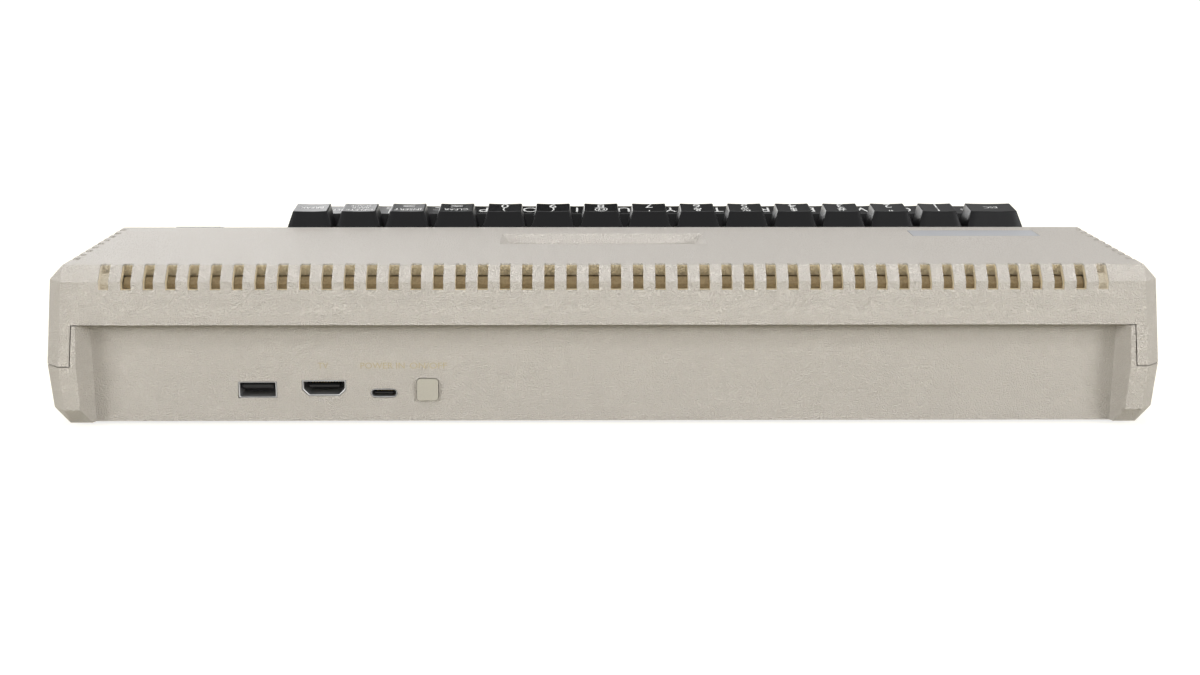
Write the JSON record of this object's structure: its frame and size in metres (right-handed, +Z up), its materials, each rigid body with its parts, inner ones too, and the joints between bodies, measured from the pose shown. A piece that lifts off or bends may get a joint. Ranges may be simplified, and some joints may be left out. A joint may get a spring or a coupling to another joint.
{
  "type": "home computer",
  "caption": "Full-size vintage style home computer: vented two-part case, sloping full-travel keyboard, console keys, spring-loaded cartridge door and rear sockets in a recess.",
  "frame": {"origin": "on the table under the middle of the case, at the soles of the rubber feet", "axes": "+X to the user's right along the case, +Y towards the rear panel with the sockets, +Z up"},
  "size_m": [0.3864, 0.2224, 0.0643],
  "materials": {
    "case_plastic": "warm light grey moulded plastic with a fine leather grain",
    "key_plastic": "black moulded plastic with a slight sheen and light legends",
    "dark_plastic": "dark brown black moulded plastic",
    "console_metal": "brushed, silver",
    "badge_metal": "brushed, bare",
    "baffle_plastic": "matt brown",
    "plain_steel": "zinc plated",
    "socket_metal": "stamped and nickel plated",
    "dome_rubber": "moulded silicone",
    "foot_rubber": "matt black",
    "membrane_film": "polyester film with printed tracks",
    "circuit_board": "green solder mask",
    "chip_plastic": "black epoxy",
    "heat_spreader_metal": "extruded",
    "ribbon_plastic": "flat flexible cable",
    "led_plastic": "tinted red"
  },
  "bodies": {
    "case": {"top_shell": "case_plastic", "bottom_shell": "case_plastic", "keyboard_bezel": "dark_plastic", "badge_plate": "badge_metal", "vent_baffles": "baffle_plastic", "door_pin": "plain_steel", "keyboard_frame": "dark_plastic", "rubber_dome_sheet": "dome_rubber", "membrane_sheet": "membrane_film", "keyboard_back_plate": "plain_steel", "keyboard_screws": "plain_steel", "console_board": "circuit_board", "console_switches": "dark_plastic", "power_led": "led_plastic", "main_board": "circuit_board", "board_chips": "chip_plastic", "heat_spreader": "heat_spreader_metal", "usb_a_socket": "socket_metal", "hdmi_socket": "socket_metal", "usb_c_socket": "socket_metal", "power_switch": "dark_plastic", "controller_board": "circuit_board", "controller_sockets": "socket_metal", "ribbon_cables": "ribbon_plastic", "board_screws": "plain_steel", "case_screws": "plain_steel", "rubber_feet": "foot_rubber"},
    "cartridge_door": {"cartridge_door": "case_plastic"},
    "power_button": {"power_button": "case_plastic"},
    "key_escape": {"key_escape": "key_plastic"},
    "key_1": {"key_1": "key_plastic"},
    "key_2": {"key_2": "key_plastic"},
    "key_3": {"key_3": "key_plastic"},
    "key_4": {"key_4": "key_plastic"},
    "key_5": {"key_5": "key_plastic"},
    "key_6": {"key_6": "key_plastic"},
    "key_7": {"key_7": "key_plastic"},
    "key_8": {"key_8": "key_plastic"},
    "key_9": {"key_9": "key_plastic"},
    "key_0": {"key_0": "key_plastic"},
    "key_clear": {"key_clear": "key_plastic"},
    "key_insert": {"key_insert": "key_plastic"},
    "key_delete": {"key_delete": "key_plastic"},
    "key_break": {"key_break": "key_plastic"},
    "key_tab": {"key_tab": "key_plastic"},
    "key_return": {"key_return": "key_plastic"},
    "key_control": {"key_control": "key_plastic"},
    "key_caps": {"key_caps": "key_plastic"},
    "key_shift_left": {"key_shift_left": "key_plastic"},
    "key_shift_right": {"key_shift_right": "key_plastic"},
    "key_inverse": {"key_inverse": "key_plastic"},
    "space_bar": {"space_bar": "key_plastic"},
    "letter_keys_row_2": {"letter_keys_row_2": "key_plastic"},
    "letter_keys_row_3": {"letter_keys_row_3": "key_plastic"},
    "letter_keys_row_4": {"letter_keys_row_4": "key_plastic"},
    "console_reset": {"console_reset": "console_metal"},
    "console_option": {"console_option": "console_metal"},
    "console_select": {"console_select": "console_metal"},
    "console_start": {"console_start": "console_metal"},
    "console_help": {"console_help": "console_metal"}
  },
  "joints": [
    {"name": "power_button_slide", "type": "slide", "parent": "case", "child": "power_button", "axis": [0, -1, 0], "range_m": [0, 0.0015], "stiffness_N_per_m": 400, "springref_m": -0.001},
    {"name": "cartridge_door_hinge", "type": "hinge", "parent": "case", "child": "cartridge_door", "pos_m": [0, 0.0607, 0.05009], "axis": [1, 0, 0], "range_deg": [0, 80], "stiffness_Nm_per_rad": 0.004, "springref_deg": -28.65},
    {"name": "console_reset_slide", "type": "slide", "parent": "case", "child": "console_reset", "axis": [0, 0.1959, -0.9806], "range_m": [0, 0.0015], "stiffness_N_per_m": 250, "springref_m": -0.0015},
    {"name": "console_option_slide", "type": "slide", "parent": "case", "child": "console_option", "axis": [0, 0.1959, -0.9806], "range_m": [0, 0.0015], "stiffness_N_per_m": 250, "springref_m": -0.0015},
    {"name": "console_select_slide", "type": "slide", "parent": "case", "child": "console_select", "axis": [0, 0.1959, -0.9806], "range_m": [0, 0.0015], "stiffness_N_per_m": 250, "springref_m": -0.0015},
    {"name": "console_start_slide", "type": "slide", "parent": "case", "child": "console_start", "axis": [0, 0.1959, -0.9806], "range_m": [0, 0.0015], "stiffness_N_per_m": 250, "springref_m": -0.0015},
    {"name": "console_help_slide", "type": "slide", "parent": "case", "child": "console_help", "axis": [0, 0.1959, -0.9806], "range_m": [0, 0.0015], "stiffness_N_per_m": 250, "springref_m": -0.0015},
    {"name": "key_escape_slide", "type": "slide", "parent": "case", "child": "key_escape", "axis": [0, 0.1959, -0.9806], "range_m": [0, 0.0036], "stiffness_N_per_m": 120, "springref_m": -0.002},
    {"name": "key_1_slide", "type": "slide", "parent": "case", "child": "key_1", "axis": [0, 0.1959, -0.9806], "range_m": [0, 0.0036], "stiffness_N_per_m": 120, "springref_m": -0.002},
    {"name": "key_2_slide", "type": "slide", "parent": "case", "child": "key_2", "axis": [0, 0.1959, -0.9806], "range_m": [0, 0.0036], "stiffness_N_per_m": 120, "springref_m": -0.002},
    {"name": "key_3_slide", "type": "slide", "parent": "case", "child": "key_3", "axis": [0, 0.1959, -0.9806], "range_m": [0, 0.0036], "stiffness_N_per_m": 120, "springref_m": -0.002},
    {"name": "key_4_slide", "type": "slide", "parent": "case", "child": "key_4", "axis": [0, 0.1959, -0.9806], "range_m": [0, 0.0036], "stiffness_N_per_m": 120, "springref_m": -0.002},
    {"name": "key_5_slide", "type": "slide", "parent": "case", "child": "key_5", "axis": [0, 0.1959, -0.9806], "range_m": [0, 0.0036], "stiffness_N_per_m": 120, "springref_m": -0.002},
    {"name": "key_6_slide", "type": "slide", "parent": "case", "child": "key_6", "axis": [0, 0.1959, -0.9806], "range_m": [0, 0.0036], "stiffness_N_per_m": 120, "springref_m": -0.002},
    {"name": "key_7_slide", "type": "slide", "parent": "case", "child": "key_7", "axis": [0, 0.1959, -0.9806], "range_m": [0, 0.0036], "stiffness_N_per_m": 120, "springref_m": -0.002},
    {"name": "key_8_slide", "type": "slide", "parent": "case", "child": "key_8", "axis": [0, 0.1959, -0.9806], "range_m": [0, 0.0036], "stiffness_N_per_m": 120, "springref_m": -0.002},
    {"name": "key_9_slide", "type": "slide", "parent": "case", "child": "key_9", "axis": [0, 0.1959, -0.9806], "range_m": [0, 0.0036], "stiffness_N_per_m": 120, "springref_m": -0.002},
    {"name": "key_0_slide", "type": "slide", "parent": "case", "child": "key_0", "axis": [0, 0.1959, -0.9806], "range_m": [0, 0.0036], "stiffness_N_per_m": 120, "springref_m": -0.002},
    {"name": "key_clear_slide", "type": "slide", "parent": "case", "child": "key_clear", "axis": [0, 0.1959, -0.9806], "range_m": [0, 0.0036], "stiffness_N_per_m": 120, "springref_m": -0.002},
    {"name": "key_insert_slide", "type": "slide", "parent": "case", "child": "key_insert", "axis": [0, 0.1959, -0.9806], "range_m": [0, 0.0036], "stiffness_N_per_m": 120, "springref_m": -0.002},
    {"name": "key_delete_slide", "type": "slide", "parent": "case", "child": "key_delete", "axis": [0, 0.1959, -0.9806], "range_m": [0, 0.0036], "stiffness_N_per_m": 120, "springref_m": -0.002},
    {"name": "key_break_slide", "type": "slide", "parent": "case", "child": "key_break", "axis": [0, 0.1959, -0.9806], "range_m": [0, 0.0036], "stiffness_N_per_m": 120, "springref_m": -0.002},
    {"name": "key_tab_slide", "type": "slide", "parent": "case", "child": "key_tab", "axis": [0, 0.1959, -0.9806], "range_m": [0, 0.0036], "stiffness_N_per_m": 120, "springref_m": -0.002},
    {"name": "key_return_slide", "type": "slide", "parent": "case", "child": "key_return", "axis": [0, 0.1959, -0.9806], "range_m": [0, 0.0036], "stiffness_N_per_m": 120, "springref_m": -0.002},
    {"name": "key_control_slide", "type": "slide", "parent": "case", "child": "key_control", "axis": [0, 0.1959, -0.9806], "range_m": [0, 0.0036], "stiffness_N_per_m": 120, "springref_m": -0.002},
    {"name": "key_caps_slide", "type": "slide", "parent": "case", "child": "key_caps", "axis": [0, 0.1959, -0.9806], "range_m": [0, 0.0036], "stiffness_N_per_m": 120, "springref_m": -0.002},
    {"name": "key_shift_left_slide", "type": "slide", "parent": "case", "child": "key_shift_left", "axis": [0, 0.1959, -0.9806], "range_m": [0, 0.0036], "stiffness_N_per_m": 120, "springref_m": -0.002},
    {"name": "key_shift_right_slide", "type": "slide", "parent": "case", "child": "key_shift_right", "axis": [0, 0.1959, -0.9806], "range_m": [0, 0.0036], "stiffness_N_per_m": 120, "springref_m": -0.002},
    {"name": "key_inverse_slide", "type": "slide", "parent": "case", "child": "key_inverse", "axis": [0, 0.1959, -0.9806], "range_m": [0, 0.0036], "stiffness_N_per_m": 120, "springref_m": -0.002},
    {"name": "space_bar_slide", "type": "slide", "parent": "case", "child": "space_bar", "axis": [0, 0.1959, -0.9806], "range_m": [0, 0.0036], "stiffness_N_per_m": 360, "springref_m": -0.002},
    {"name": "letter_keys_row_2_slide", "type": "slide", "parent": "case", "child": "letter_keys_row_2", "axis": [0, 0.1959, -0.9806], "range_m": [0, 0.0036], "stiffness_N_per_m": 1440, "springref_m": -0.002},
    {"name": "letter_keys_row_3_slide", "type": "slide", "parent": "case", "child": "letter_keys_row_3", "axis": [0, 0.1959, -0.9806], "range_m": [0, 0.0036], "stiffness_N_per_m": 1440, "springref_m": -0.002},
    {"name": "letter_keys_row_4_slide", "type": "slide", "parent": "case", "child": "letter_keys_row_4", "axis": [0, 0.1959, -0.9806], "range_m": [0, 0.0036], "stiffness_N_per_m": 1200, "springref_m": -0.002}
  ]
}
